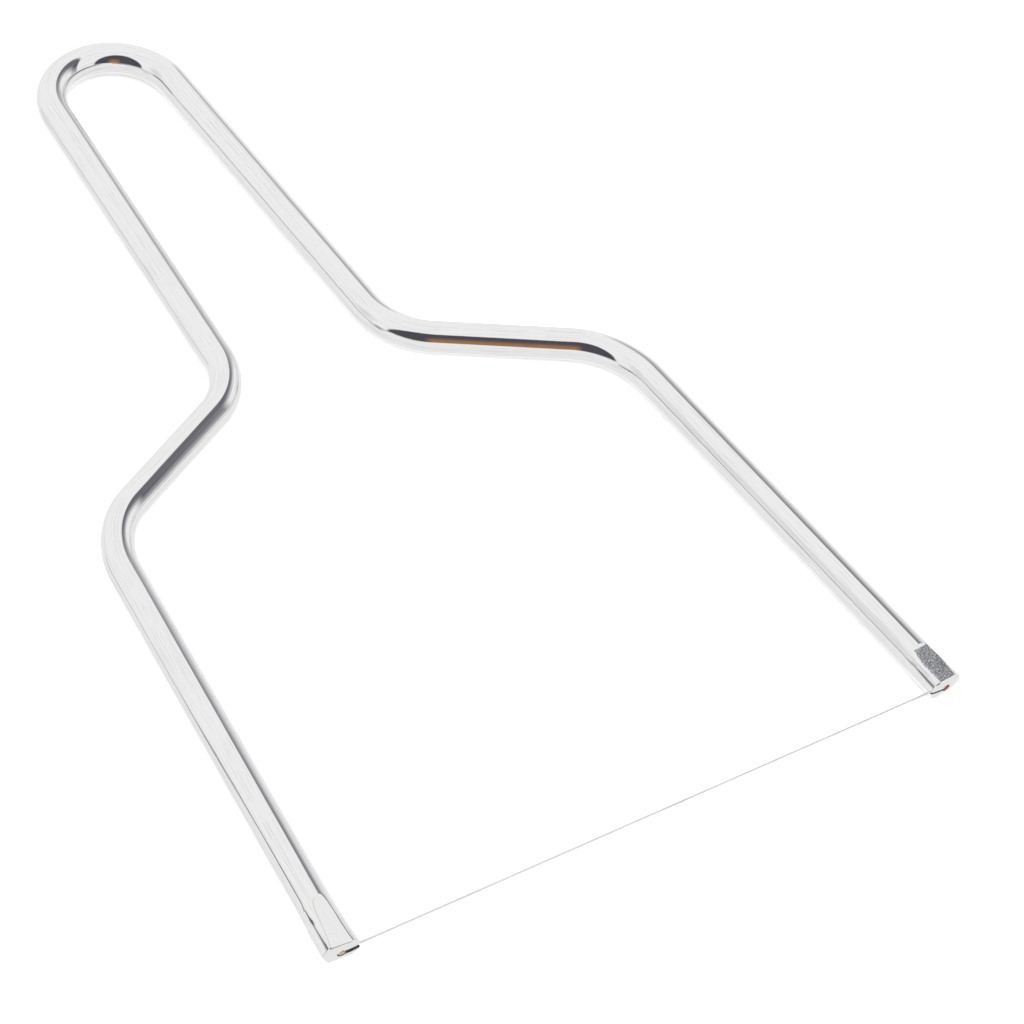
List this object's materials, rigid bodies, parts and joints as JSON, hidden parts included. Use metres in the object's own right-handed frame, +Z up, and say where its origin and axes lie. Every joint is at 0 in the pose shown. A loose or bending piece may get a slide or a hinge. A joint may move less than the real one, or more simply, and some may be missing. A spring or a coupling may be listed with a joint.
{
  "type": "cheese wire cutter",
  "caption": "Hand-held cheese wire cutter: a round metal bar bent into a keyhole-shaped bow with a hand loop, and a thin cutting wire stretched between its pressed ends.",
  "frame": {"origin": "middle of the underside of the whole cutter, lying flat", "axes": "+Y from the cutting wire to the hand loop, +X to the right, +Z up"},
  "size_m": [0.1302, 0.2018, 0.006],
  "materials": {
    "plated_bar": "polished chromium plate with fine handling scratches, matt grey die marks on the pressed ends",
    "wire": "bright drawn stainless wire",
    "nipple": "copper-coloured, squeezed and slightly darkened"
  },
  "bodies": {
    "root": {"frame_rod": "plated_bar", "cutting_wire": "wire", "wire_nipple_left": "nipple", "wire_nipple_right": "nipple"}
  },
  "joints": []
}
